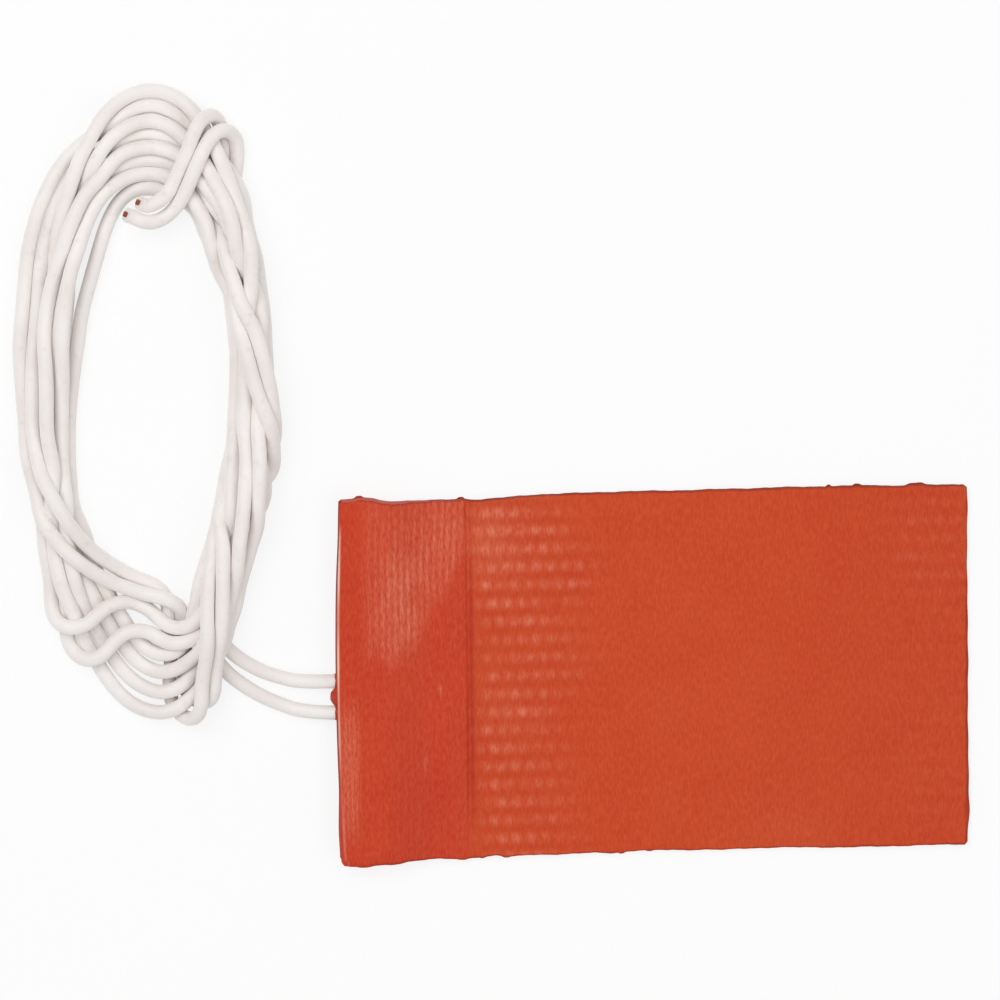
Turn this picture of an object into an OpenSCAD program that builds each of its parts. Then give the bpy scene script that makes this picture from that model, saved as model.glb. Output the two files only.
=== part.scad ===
// Silicone strip heater: an etched foil element between two glass reinforced rubber sheets,
// with a moulded lead end and two insulated leads wound into a hank.
// The pad lies flat. X runs from the lead end to the free end, Z is up,
// and the origin is under the middle of the pad.

/* [Pad] */
// Length of the pad
pad_l = 132; // [100:1:240]
// Width of the pad
pad_w = 76; // [56:1:140]
// Thickness of each rubber sheet
sheet_t = 0.75; // [0.5:0.05:1.2]
// Corner radius of the sheets
corner_r = 0.6; // [0.4:0.1:4]
// How far the lead end bows out at its middle
end_bow = 1; // [0.2:0.1:2]
// How far a trimming nib stands out of a long edge
nib_h = 0.4; // [0.2:0.1:0.9]
// How far the moulding's flash stands out of one side of the lead end
flash_w = 0.8; // [0.2:0.1:1.5]
// Length of the flash along that side
flash_l = 12; // [6:0.5:20]

/* [Lead end] */
// Length of the cap over the lead end
cap_l = 27.5; // [25:0.5:40]
// Length of the cap that laps over the cover sheet
cap_lap = 7.5; // [3:0.5:12]
// Length of the slope where the cap comes down to the cover sheet
slope_run = 10; // [6:0.5:14]
// How far the insulated leads reach into the moulding
lead_embed = 7; // [4:0.5:9]
// Radius of the sealant bead between the leads
bead_r = 2.3; // [2:0.1:3]
// Width of the sealant collar round each lead
collar_w = 0.3; // [0.2:0.1:0.8]

/* [Foil element] */
// Thickness of the foil
foil_t = 0.1; // [0.05:0.01:0.2]
// Distance from one track to the next
track_pitch = 2; // [1.5:0.1:4]
// Etched gap between two tracks
track_gap = 0.7; // [0.4:0.1:1.2]
// Bare rubber between the foil and the long edges
edge_margin = 6; // [4:0.5:12]
// Bare rubber between the foil and the free end
end_margin = 4.5; // [3:0.5:12]
// Width of the strips that lead to the terminal pads
bus_w = 2.4; // [1.5:0.1:4]
// Width of each terminal pad
terminal_pad_w = 4.2; // [3.2:0.1:5.2]

/* [Terminals] */
// Sheet metal thickness of the terminals
metal_t = 0.3; // [0.2:0.05:0.4]
// Length of the crimped barrel
barrel_l = 4; // [3:0.5:5]
// Length of the foot on the terminal pad
foot_l = 4.5; // [3:0.5:6]
// Width of the foot
foot_w = 2.6; // [1.5:0.1:3]
// Width of the barrel's seam
seam_w = 0.2; // [0.1:0.05:0.4]

/* [Leads] */
// Outer diameter of each lead
lead_d = 3; // [2.4:0.1:3.6]
// Diameter of the stranded conductor
core_d = 1.2; // [0.8:0.1:1.6]
// Distance between the two leads at the exit
lead_pitch = 6.6; // [5.5:0.1:9]
// Height of the hank
coil_h = 11; // [8:0.5:14]
// Length of bare conductor at each free end
tip_l = 1; // [0.5:0.1:4]

/* [Hidden] */
$fn = 48;
eps = 0.01;
// How far a cutting shape runs past what it cuts
overrun = 1;

// Bare conductor ahead of the barrel, and run of the sheet metal from the barrel to the foot
strip_gap = 1;
foot_ramp = 2.5;
// Start of the bus strips behind the cover's edge, and of the terminal pads ahead of the feet
bus_setback = 0.5;
pad_overlap = 0.5;

// Stations along the pad
lead_end_x = -pad_l / 2;
free_end_x = pad_l / 2;
cap_end_x = lead_end_x + cap_l;
cover_x = cap_end_x - cap_lap;
slope_x = cover_x - slope_run;
core_x = lead_end_x + lead_embed;
barrel_x = core_x + strip_gap;
barrel_end_x = barrel_x + barrel_l;
foot_x = barrel_end_x + foot_ramp;
foot_end_x = foot_x + foot_l;

// Heights of the layers
foil_z = sheet_t;
cover_top = 2 * sheet_t;
lead_axis_z = sheet_t + lead_d / 2;
lead_top = sheet_t + lead_d;
end_top = lead_top + sheet_t;

// The upper lead leaves on the X axis and the lower one a pitch below it
lead_y = [0, -lead_pitch];
barrel_r = core_d / 2 + metal_t;

// Foil: pairs of tracks, so both ends come out at the lead end
track_w = track_pitch - track_gap;
pairs = floor((pad_w - 2 * edge_margin + track_gap) / (2 * track_pitch));
field_w = 2 * pairs * track_pitch - track_gap;
turn_r = track_w + track_gap / 2;
bus_x = cover_x + bus_setback;
field_x = bus_x + bus_w + track_gap + turn_r;
field_end_x = free_end_x - end_margin - turn_r;

// Straight pieces that the bowed lead end is drawn with
bow_steps = 24;

// Trimming nibs: distance from the lead end in percent of the pad's length, side, width
nibs = [
    [3.6, 1, 3], [20, 1, 2], [78.2, 1, 1.4], [82.7, 1, 2.2], [92, 1, 5],
    [19.7, -1, 2.6], [23, -1, 1.6], [26.6, -1, 2.4], [45, -1, 1.8], [49.5, -1, 2.2]
];

// Run over which the flash comes back to the edge, and its cut corner
flash_run = 3;
flash_cut = 0.3;

// Sealant: centre of the bead behind the lead end, length of the collars
bead_inset = 1;
collar_l = 1.4;

// Routes of the leads, from inside the cap to the hank, measured from the lead end
route_1 = [[lead_embed, 0], [0, 0], [-2, 0], [-6, 0], [-10, 0.4], [-15, 1.8], [-20, 4.4], [-25, 8]];
route_2 = [[lead_embed, 0], [0, 0], [-2, 0], [-6, 0.3], [-10, 1.1], [-15, 3.1], [-20, 6.1], [-25, 9.8]];
// The leads come down to the floor between these distances from the lead end
drop_start = 2;
drop_end = 10;

// Hank: an oval ring, wide where the turns fan out at its two ends
coil_outer_c = [-39.3, 59];
coil_outer_r = [27.2, 66];
coil_inner_c = [-37.5, 60];
coil_inner_r = [16.7, 39];
coil_stations = 48;
coil_sides = 12;

// Free ends of the leads, over the hank's inner edge: place, heading, rise and depth in the hank
tip_place = [[-39.3, 101.3], [-41.9, 98.9]];
tip_heading = 155;
tip_rise = 20;
tip_sink = 3;
tip_z = coil_h - lead_d / 2 - tip_sink;
// Pockets in the hank: room round a lead, and their depth at the leads and at the free ends
landing_gap = 0.1;
lead_landing = 12;
tip_landing = 5;

function ease(t) = t <= 0 ? 0 : t >= 1 ? 1 : t * t * (3 - 2 * t);
function filler_top(x) =
    lead_top - (lead_top - cover_top) * ease((x - slope_x) / slope_run);
function lead_lift(x) = sheet_t * (1 - ease((-x - drop_start) / (drop_end - drop_start)));
function lead_path(i) = [
    for (p = i == 0 ? route_1 : route_2)
        [lead_end_x + p[0], lead_y[i] + p[1], lead_d / 2 + lead_lift(p[0])]
];

// A closed tube: one ring of points across each point of the path
function unit(v) = v / norm(v);
function tangent(path, k) = unit(
    path[min(k + 1, len(path) - 1)] - path[max(k - 1, 0)]
);
function tube_ring(p, t, r, sides) =
    let (side = unit(cross([0, 0, 1], t)), up = cross(t, side))
    [for (s = [0 : sides - 1]) let (a = 360 * (s + 0.5) / sides) p + r * (cos(a) * side + sin(a) * up)];
function band_faces(rings, sides, closed) = [
    for (k = [0 : rings - (closed ? 1 : 2)], s = [0 : sides - 1])
        let (a = k * sides, b = ((k + 1) % rings) * sides, n = (s + 1) % sides)
        each [[a + s, a + n, b + n], [a + s, b + n, b + s]]
];

module tube(path, d, sides) {
    last = len(path) - 1;
    points = [for (k = [0 : last]) each tube_ring(path[k], tangent(path, k), d / 2, sides)];
    caps = [
        [for (s = [sides - 1 : -1 : 0]) s],
        [for (s = [0 : sides - 1]) last * sides + s]
    ];
    polyhedron(points, concat(caps, band_faces(len(path), sides, false)), convexity = 4);
}

// Plan outline of the pad, which every layer shares
module pad_outline() {
    x0 = lead_end_x + end_bow;
    half = pad_w / 2 - corner_r;
    bow_r = (half * half + end_bow * end_bow) / (2 * end_bow);
    bow = [
        for (k = [0 : bow_steps]) let (y = half * (1 - 2 * k / bow_steps))
            [lead_end_x + bow_r - sqrt(bow_r * bow_r - y * y), y]
    ];
    for (inset = [[corner_r, 0], [0, corner_r]])
        translate([x0 + inset[0], -pad_w / 2 + inset[1]])
            square([free_end_x - x0 - 2 * inset[0], pad_w - 2 * inset[1]]);
    for (x = [x0 + corner_r, free_end_x - corner_r], y = [-1, 1])
        translate([x, y * (pad_w / 2 - corner_r)]) circle(corner_r);
    polygon(concat(bow, [[x0 + corner_r, -half], [x0 + corner_r, half]]));
    side_flash(x0, -half);
}

// Flash beside the edge at -Y, where the two halves of the mould met
module side_flash(x0, inner_y) {
    edge_y = -pad_w / 2;
    out_y = edge_y - flash_w;
    polygon([
        [x0, inner_y], [x0, out_y + flash_cut], [x0 + flash_cut, out_y], [x0 + flash_l, out_y],
        [x0 + flash_l + flash_run, edge_y], [x0 + flash_l + flash_run, inner_y]
    ]);
}

// Slivers of rubber that the trimming knife left on the long edges
module trim_nibs() {
    for (n = nibs)
        rotate(n[1] < 0 ? 180 : 0) translate([n[1] * (lead_end_x + pad_l * n[0] / 100), pad_w / 2])
            polygon([
                [-n[2] / 2, -nib_h], [n[2] / 2, -nib_h], [n[2] / 2, 0],
                [n[2] / 5, nib_h], [-n[2] / 4, nib_h], [-n[2] / 2, 0]
            ]);
}

// One track out to the free end and back
module hairpin(y) {
    w = 2 * turn_r;
    difference() {
        union() {
            translate([field_x, y - turn_r]) square([field_end_x - field_x, w]);
            translate([field_end_x, y]) circle(turn_r);
        }
        translate([field_x - overrun, y - track_gap / 2])
            square([field_end_x - field_x + overrun, track_gap]);
        translate([field_end_x, y]) circle(track_gap / 2);
    }
}

// The turn that joins one hairpin to the next at the lead end
module lead_end_turn(y) {
    difference() {
        translate([field_x, y]) circle(turn_r);
        translate([field_x, y]) circle(track_gap / 2);
        translate([field_x, y - turn_r - overrun])
            square([turn_r + overrun, 2 * (turn_r + overrun)]);
    }
}

// Strip from the first or last track down to its terminal pad
module bus(i) {
    side = i == 0 ? 1 : -1;
    track_y = side * (field_w - track_w) / 2;
    track_edge = side * field_w / 2;
    pad_edge = lead_y[i] - side * terminal_pad_w / 2;
    translate([bus_x, track_y - track_w / 2]) square([field_x - bus_x, track_w]);
    translate([bus_x, min(pad_edge, track_edge)]) square([bus_w, abs(track_edge - pad_edge)]);
    translate([foot_x - pad_overlap, lead_y[i] - terminal_pad_w / 2])
        square([bus_x - foot_x + pad_overlap + eps, terminal_pad_w]);
}

module foil() {
    translate([0, 0, foil_z]) linear_extrude(foil_t) {
        for (k = [0 : pairs - 1]) hairpin((2 * k + 1 - pairs) * track_pitch);
        for (k = [1 : pairs - 1]) lead_end_turn((2 * k - pairs) * track_pitch);
        bus(0);
        bus(1);
    }
}

// Terminal i without its bore and seam
module terminal_body(i) {
    foot_z = foil_z + foil_t;
    barrel_low = lead_axis_z - barrel_r;
    translate([barrel_x, lead_y[i], lead_axis_z]) rotate([0, 90, 0]) cylinder(barrel_l, r = barrel_r);
    translate([0, lead_y[i] + foot_w / 2, 0]) rotate([90, 0, 0]) linear_extrude(foot_w)
        polygon([
            [barrel_end_x - metal_t, barrel_low], [barrel_end_x, barrel_low], [foot_x, foot_z],
            [foot_end_x, foot_z], [foot_end_x, foot_z + metal_t], [foot_x, foot_z + metal_t],
            [barrel_end_x, barrel_low + metal_t], [barrel_end_x - metal_t, barrel_low + metal_t]
        ]);
}

module terminal(i) {
    difference() {
        terminal_body(i);
        translate([barrel_x - overrun, lead_y[i], lead_axis_z]) rotate([0, 90, 0])
            cylinder(barrel_l + 2 * overrun, r = core_d / 2);
        translate([barrel_x - overrun, lead_y[i] - seam_w / 2, lead_axis_z])
            cube([barrel_l + 2 * overrun, seam_w, barrel_r + overrun]);
    }
}

module core(i) {
    translate([core_x, lead_y[i], lead_axis_z]) rotate([0, 90, 0])
        cylinder(barrel_end_x - core_x, r = core_d / 2);
}

// Room for the insulated end of lead i
module lead_bore(i) {
    bore_start = collar_l + overrun;
    translate([lead_end_x - bore_start, lead_y[i], lead_axis_z]) rotate([0, 90, 0])
        cylinder(lead_embed + bore_start, r = lead_d / 2);
}

// A layer whose top and bottom follow the slope, from x0 to x1
module sloped_layer(x0, x1, lower, upper, steps = 16) {
    slope_xs = [for (k = [0 : steps]) slope_x + slope_run * k / steps];
    xs = concat([x0], [for (x = slope_xs) if (x > x0 && x < x1) x], [x1]);
    last = len(xs) - 1;
    intersection() {
        linear_extrude(end_top + overrun) pad_outline();
        translate([0, pad_w, 0]) rotate([90, 0, 0]) linear_extrude(2 * pad_w)
            polygon(concat(
                [for (k = [0 : last]) [xs[k], filler_top(xs[k]) + upper]],
                lower < 0 ? [[x1, sheet_t], [x0, sheet_t]]
                    : [for (k = [last : -1 : 0]) [xs[k], filler_top(xs[k]) + lower]]
            ));
    }
}

// A round pocket in the hank, where the end face of a lead or a tip meets it
module landing(place, heading, depth, rise = 0) {
    translate(place) rotate([0, 90 - rise, heading])
        cylinder(depth, d = lead_d + 2 * landing_gap);
}

function coil_point(s, j) =
    let (
        a = 360 * s / coil_stations,
        b = 360 * j / coil_sides,
        out = coil_outer_c + [coil_outer_r[0] * cos(a), coil_outer_r[1] * sin(a)],
        in = coil_inner_c + [coil_inner_r[0] * cos(a), coil_inner_r[1] * sin(a)],
        mid = (out + in) / 2 + (out - in) / 2 * cos(b)
    )
    [lead_end_x + mid[0], mid[1], coil_h / 2 * (1 + sin(b))];

module coil_ring() {
    points = [
        for (s = [0 : coil_stations - 1], j = [coil_sides - 1 : -1 : 0]) coil_point(s, j)
    ];
    polyhedron(points, band_faces(coil_stations, coil_sides, true), convexity = 6);
}

function tip_at(i) = [lead_end_x + tip_place[i][0], tip_place[i][1], tip_z];
function end_heading(path) =
    let (last = len(path) - 1, v = path[last - 1] - path[last]) atan2(v[1], v[0]);

module base_sheet() {
    color("firebrick") linear_extrude(sheet_t) {
        pad_outline();
        trim_nibs();
    }
}

module heating_element() {
    color("silver") foil();
}

module cover_sheet() {
    color("orangered") difference() {
        translate([0, 0, sheet_t]) linear_extrude(sheet_t) intersection() {
            pad_outline();
            translate([cover_x, -pad_w]) square([pad_l, 2 * pad_w]);
        }
        foil();
    }
}

module terminal_filler() {
    color("indianred") difference() {
        sloped_layer(lead_end_x - overrun, cover_x, -1, 0);
        foil();
        for (i = [0, 1]) {
            lead_bore(i);
            core(i);
            terminal_body(i);
        }
    }
}

module end_cap() {
    color("tomato") sloped_layer(lead_end_x - overrun, cap_end_x, 0, sheet_t);
}

module exit_sealant() {
    $fn = 120;
    bead_x = lead_end_x + bead_inset;
    color("brown") difference() {
        union() {
            translate([bead_x, -lead_pitch / 2, lead_axis_z]) sphere(bead_r);
            for (i = [0, 1])
                translate([bead_x, lead_y[i], lead_axis_z]) rotate([0, -90, 0])
                    cylinder(collar_l, r1 = lead_d / 2 + collar_w, r2 = lead_d / 2 + collar_w / 4);
        }
        for (i = [0, 1]) lead_bore(i);
        translate([0, 0, -overrun]) linear_extrude(end_top + 2 * overrun) pad_outline();
    }
}

module terminal_1() { color("goldenrod") terminal(0); }
module terminal_2() { color("goldenrod") terminal(1); }
module core_1() { color("peru") core(0); }
module core_2() { color("peru") core(1); }
module lead_1() { color("whitesmoke") tube(lead_path(0), lead_d, 8); }
module lead_2() { color("snow") tube(lead_path(1), lead_d, 8); }

module lead_coil() {
    color("linen") difference() {
        coil_ring();
        for (i = [0, 1]) {
            path = lead_path(i);
            landing(path[len(path) - 1], end_heading(path), lead_landing);
            landing(tip_at(i), tip_heading, tip_landing, tip_rise);
        }
    }
}

module lead_tip(i) {
    color("sienna") translate(tip_at(i)) rotate([0, 90 - tip_rise, tip_heading])
        cylinder(tip_l, r = core_d / 2);
}
module lead_tip_1() { lead_tip(0); }
module lead_tip_2() { lead_tip(1); }

base_sheet();
heating_element();
cover_sheet();
terminal_filler();
end_cap();
exit_sealant();
terminal_1();
terminal_2();
core_1();
core_2();
lead_1();
lead_2();
lead_coil();
lead_tip_1();
lead_tip_2();
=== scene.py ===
# %% [markdown]
# A silicone strip heater: two sheets of red rubber with an etched foil between them, a moulded
# lead end, and two long white leads that somebody has wound into a hank. The CAD model gives
# every size. This file gives the looks, one piece at a time, and starts by loading that model.

# %% Load the frame
import math
import bpy
import numpy as np
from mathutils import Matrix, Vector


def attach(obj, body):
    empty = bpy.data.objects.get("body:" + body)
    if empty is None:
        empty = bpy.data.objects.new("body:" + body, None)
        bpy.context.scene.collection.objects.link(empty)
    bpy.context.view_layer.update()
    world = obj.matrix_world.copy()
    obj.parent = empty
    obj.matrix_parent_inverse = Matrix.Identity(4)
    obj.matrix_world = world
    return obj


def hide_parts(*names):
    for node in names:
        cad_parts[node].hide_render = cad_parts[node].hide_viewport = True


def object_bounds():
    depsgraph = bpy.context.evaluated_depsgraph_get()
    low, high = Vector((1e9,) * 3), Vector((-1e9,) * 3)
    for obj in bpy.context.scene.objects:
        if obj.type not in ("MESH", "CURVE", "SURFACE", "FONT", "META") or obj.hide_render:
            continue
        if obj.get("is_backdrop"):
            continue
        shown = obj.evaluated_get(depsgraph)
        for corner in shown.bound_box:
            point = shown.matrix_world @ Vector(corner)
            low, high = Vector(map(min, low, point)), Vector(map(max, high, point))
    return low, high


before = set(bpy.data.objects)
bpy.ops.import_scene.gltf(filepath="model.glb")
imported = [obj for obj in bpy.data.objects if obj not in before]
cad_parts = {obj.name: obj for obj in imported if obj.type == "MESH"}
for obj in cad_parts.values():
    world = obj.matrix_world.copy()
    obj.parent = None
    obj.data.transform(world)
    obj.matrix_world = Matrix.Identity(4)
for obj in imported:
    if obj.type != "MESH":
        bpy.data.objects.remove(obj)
cad_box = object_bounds()
MM = 0.001
print("nodes:", sorted(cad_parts))

# %% [markdown]
# The camera looks almost straight down from the lead end's side. A long lens far away keeps the
# pad's edges nearly parallel. It could also be placed by eye, but three angles and an aim point
# are easy to read and to change.

# %% Camera
AIM = np.array([-31.39, 36.9, 0.0]) * MM
TILT = [math.radians(a) for a in (-9.67, -4.97, -0.525)]
DISTANCE = 1500 * MM
LENS, SENSOR = 260.6, 36.0
SEES_TO = 20

bpy.ops.object.camera_add(rotation=TILT)
camera = bpy.context.object
camera.name = "camera"
backwards = np.array(camera.rotation_euler.to_matrix().col[2])
camera.location = AIM + DISTANCE * backwards
camera.data.lens = LENS
camera.data.sensor_width = SENSOR
camera.data.clip_end = SEES_TO
bpy.context.scene.camera = camera
print("camera stands at", np.round(np.array(camera.location), 3))

# %% [markdown]
# Helpers that every later cell uses. Operators act on all that is selected, so a piece is first
# made the only selected object. A finished piece keeps its place in its mesh and stands at the
# origin, as the CAD nodes do.


# %% Helpers for objects
def only(obj):
    """Make obj the one selected and active object."""
    bpy.ops.object.select_all(action="DESELECT")
    obj.select_set(True)
    bpy.context.view_layer.objects.active = obj


def settle_transform(obj):
    """Move the object's place, turn and size into its mesh."""
    only(obj)
    bpy.ops.object.transform_apply(location=True, rotation=True, scale=True)


def joined(parts):
    """Several objects made one."""
    only(parts[0])
    for part in parts:
        part.select_set(True)
    bpy.ops.object.join()
    return bpy.context.object


def points_of(obj):
    """All points of a mesh, one row each."""
    co = np.empty(len(obj.data.vertices) * 3)
    obj.data.vertices.foreach_get("co", co)
    return co.reshape(-1, 3)


def set_points(obj, co):
    """Give all points of a mesh new places."""
    obj.data.vertices.foreach_set("co", np.asarray(co, float).ravel())
    obj.data.update()


# %% [markdown]
# The leads leave the moulded end, come down to the table and run under the hank. All numbers
# of this part are millimetres. The route out of the moulding repeats the CAD route, so the
# visible lead lies where its solid lies.

# %% Leads: sizes and the way to the hank
LEAD = 3.0
RADIUS = LEAD / 2
EXIT_X = -66.0
EXIT_Y = (0.0, -6.6)
SHEET = 0.75
ROUTE = (
    [(7, 0), (0, 0), (-2, 0), (-6, 0), (-10, 0.4), (-15, 1.8), (-20, 4.4), (-25, 8)],
    [(7, 0), (0, 0), (-2, 0), (-6, 0.3), (-10, 1.1), (-15, 3.1), (-20, 6.1), (-25, 9.8)],
)
DROP_START, DROP_END = 2, 10


def ease(t):
    """0 up to 0, 1 from 1 on, and a soft rise between."""
    t = np.clip(t, 0, 1)
    return t * t * (3 - 2 * t)


def run_out(lead):
    """Points from inside the moulding down to the table."""
    x, y = np.array(ROUTE[lead], float).T
    lift = SHEET * (1 - ease((-x - DROP_START) / (DROP_END - DROP_START)))
    return np.c_[EXIT_X + x, EXIT_Y[lead] + y, RADIUS + lift]


print("lead 1 starts at", run_out(0)[0], "and meets the hank at", run_out(0)[-1].round(1))

# %% [markdown]
# The hank is an oval about 130 mm tall. Its turns are packed at the two long sides and fan out
# at the two ends. Two closed outlines, one inside and one outside, say where the turns may lie.
# A place in the hank is then a turn (0 right side, 0.25 top, 0.5 left side, 0.75 bottom), a
# share of the way from the inner to the outer outline, and a height in layers.

# %% Hank: its two outlines
INNER = np.array([
    (-86.1, 60), (-87.2, 83.2), (-93.0, 96.3), (-98.7, 101.2), (-104.7, 101.8), (-110.2, 99.6),
    (-113.3, 89.2), (-117.5, 74), (-121.3, 57), (-121.0, 42), (-117.1, 31.8), (-108.8, 25.2),
    (-101.2, 20.2), (-96.5, 19.2), (-91.1, 31.8), (-87.8, 46),
], float)
OUTER = np.array([
    (-78.4, 58), (-79.6, 81.2), (-82.9, 103.0), (-90.2, 118.2), (-101.7, 127.4), (-113.0, 120.5),
    (-124.0, 107.4), (-128.8, 85.2), (-130.8, 60), (-129.1, 36.9), (-125.0, 13.7), (-117.6, 0.8),
    (-107.2, -8.3), (-96.3, -7.4), (-88.7, 9.8), (-80.6, 32.9),
], float)


def on_curve(a, b, c, d, f):
    """The point a share f of the way from b to c, on a smooth curve through a, b, c and d."""
    return 0.5 * (2 * b + (c - a) * f + (2 * a - 5 * b + 4 * c - d) * f ** 2
                  + (3 * b - a - 3 * c + d) * f ** 3)


def around(outline, turn):
    """Point of a closed outline at a turn, on a smooth curve through its corners."""
    n = len(outline)
    u = (np.asarray(turn) % 1.0) * n
    i = np.floor(u).astype(int)
    return on_curve(*(outline[(i + k) % n] for k in (-1, 0, 1, 2)), (u - i)[:, None])


def hank_width(turn):
    return np.linalg.norm(around(OUTER, turn) - around(INNER, turn), axis=1)


def in_hank(turn, share, height):
    """Places in the hank: share 0 touches the inner outline and 1 the outer one."""
    inner, outer = around(INNER, turn), around(OUTER, turn)
    width = hank_width(turn)[:, None]
    side = (outer - inner) / width
    xy = inner + side * (RADIUS + np.asarray(share)[:, None] * (width - LEAD))
    return np.c_[xy, RADIUS + height]


print("hank is %.1f mm wide at its left side, %.1f mm at its foot" % tuple(hank_width([0.5, 0.75])))

# %% [markdown]
# Each lead joins the hank just before turn 0, makes three and a half plain turns and then crosses
# the bundle. Three numbers are one point on the way: turn, share and layer, and the lead passes
# smoothly from one to the next. At the lower left both leads come up round the outer edge, which
# makes the knot that shows there. On the last turn they lie outside the others at the left, with
# a slit between. At four places the wrap will run under the bundle, so all turns are lifted there.

# %% Hank: the plain turns
LAYER = 2.7
JOIN, PLAIN_END = (-0.15, -0.18), 3.70
PLAIN = (
    [(JOIN[0], 0.42, 0), (-0.09, 0.38, 0), (0.0, 0.5, 0), (0.125, 0.40, 0), (0.25, 0.33, 0),
     (0.34, 0.36, 0.1), (0.40, 0.40, 0.3), (0.44, 0.42, 0.6), (0.5, 0.32, 1), (0.5625, 0.30, 1),
     (0.625, 0.30, 0), (0.6875, 0.48, 0), (0.75, 0.65, 0), (0.875, 0.50, 0.8),
     (1.0, 0.5, 1), (1.125, 0.55, 1), (1.25, 0.45, 1),
     (1.34, 0.50, 1.2), (1.40, 0.54, 1.5), (1.44, 0.52, 1.8), (1.5, 0.35, 2), (1.5625, 0.36, 2),
     (1.625, 0.62, 0.7), (1.6875, 0.85, 0), (1.75, 0.97, 0), (1.875, 0.85, 0.6),
     (2.0, 0.7, 2), (2.125, 0.6, 1.8), (2.25, 0.70, 1), (2.305, 0.72, 1.1), (2.34, 0.60, 1.1),
     (2.375, 0.54, 0.8), (2.42, 0.40, 0.2), (2.46, 0.18, 0), (2.5, 0.0, 0), (2.575, 0.15, 0),
     (2.62, 0.55, 0), (2.65, 0.90, 0), (2.67, 1.0, 1.4), (2.685, 0.86, 3.0), (2.702, 0.47, 3.0),
     (2.725, 0.26, 2.4), (2.755, 0.30, 1.3), (2.80, 0.44, 0.8), (2.875, 0.66, 0.2),
     (3.0, 0.86, 0.1), (3.125, 0.90, 0), (3.25, 0.84, 0), (3.31, 0.82, 0), (3.345, 0.95, 0),
     (3.375, 1.0, 0), (3.42, 1.03, 0), (3.48, 1.05, 0), (3.51, 1.0, 1.0),
     (3.54, 0.88, 2.6), (3.575, 0.58, 3.4), (3.615, 0.28, 3.3), (PLAIN_END, 0.13, 2.4)],
    [(JOIN[1], 0.25, 0), (-0.15, 0.08, 0), (-0.09, 0.05, 0), (0.0, 0.0, 0), (0.125, 0.05, 0),
     (0.25, 0.08, 0), (0.33, -0.03, 0.2), (0.40, -0.03, 0.6), (0.5, 0.0, 1), (0.5625, 0.0, 1),
     (0.625, 0.12, 0), (0.6875, 0.32, 0), (0.75, 0.50, 0), (0.875, 0.25, 0.8),
     (1.0, 0.0, 1), (1.125, 0.15, 1), (1.25, 0.20, 1),
     (1.34, 0.34, 1.3), (1.40, 0.36, 1.5), (1.44, 0.30, 1.8), (1.5, 0.04, 2), (1.5625, 0.06, 2),
     (1.625, 0.45, 1), (1.6875, 0.66, 0), (1.75, 0.80, 0), (1.875, 0.66, 1.0),
     (2.0, 0.3, 2.4), (2.125, 0.8, 2.2), (2.25, 0.98, 1), (2.305, 0.96, 1.1), (2.34, 0.84, 1.1),
     (2.375, 0.68, 1.0), (2.42, 0.56, 0.6), (2.5, 0.22, 0), (2.575, 0.45, 0),
     (2.615, 0.84, 0), (2.635, 0.98, 1.4), (2.652, 0.82, 3.0), (2.672, 0.42, 3.0), (2.70, 0.10, 2.6),
     (2.735, 0.12, 1.7), (2.78, 0.26, 0.8), (2.875, 0.5, 0.6),
     (3.0, 0.86, 1.1), (3.125, 0.70, 0.4), (3.25, 0.58, 0), (3.31, 0.60, 0), (3.345, 0.70, 0),
     (3.375, 0.80, 0), (3.42, 0.82, 0), (3.46, 0.80, 0), (3.505, 0.74, 0.8),
     (3.533, 0.56, 2.2), (3.56, 0.30, 3.1), (3.60, 0.06, 3.1), (PLAIN_END, 0.0, 2.2)],
)
UNDERPASS = ((0.79, 0.035), (0.865, 0.02), (0.935, 0.03), (0.125, 0.05))
UNDERPASS_LIFT = 1.1
PLAIN_STEP = 0.002


def between(keys, turn):
    """Values at a turn, on a smooth curve that never swings past the values of its keys."""
    keys = np.array(keys, float)
    when, value = keys[:, 0], keys[:, 1:]
    gap = np.diff(when)[:, None]
    rise = np.diff(value, axis=0) / gap
    slope = np.zeros_like(value)
    before, after = rise[:-1], rise[1:]
    same = before * after > 0
    slope[1:-1] = np.where(same, 2 * before * after / np.where(same, before + after, 1), 0)
    j = np.clip(np.searchsorted(when, turn) - 1, 0, len(gap) - 1)
    s = (turn - when[j])[:, None] / gap[j]
    flat = value[j] * (1 + 2 * s) * (1 - s) ** 2 + value[j + 1] * s ** 2 * (3 - 2 * s)
    return flat + gap[j] * (slope[j] * s * (1 - s) ** 2 - slope[j + 1] * s ** 2 * (1 - s))


def plain_turns(lead):
    turn = np.arange(JOIN[lead], PLAIN_END, PLAIN_STEP)
    share, layer = between(PLAIN[lead], turn).T
    for place, reach in UNDERPASS:
        off = np.abs((turn - place + 0.5) % 1 - 0.5)
        layer = layer + UNDERPASS_LIFT * ease(2 - off / reach) * (turn > 0)
    return in_hank(turn, share, layer * LAYER)


print("plain turns of lead 1 have", len(plain_turns(0)), "points")

# %% [markdown]
# No tie holds this hank. The last turn of both leads is wrapped round the bundle instead: at the
# foot it dives under the others and comes up round the outer edge, at the right it lies across
# them, and at the top it comes from below again and curls in. The two leads lie side by side,
# so both follow the same points, and one runs a little ahead of the other.

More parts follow.
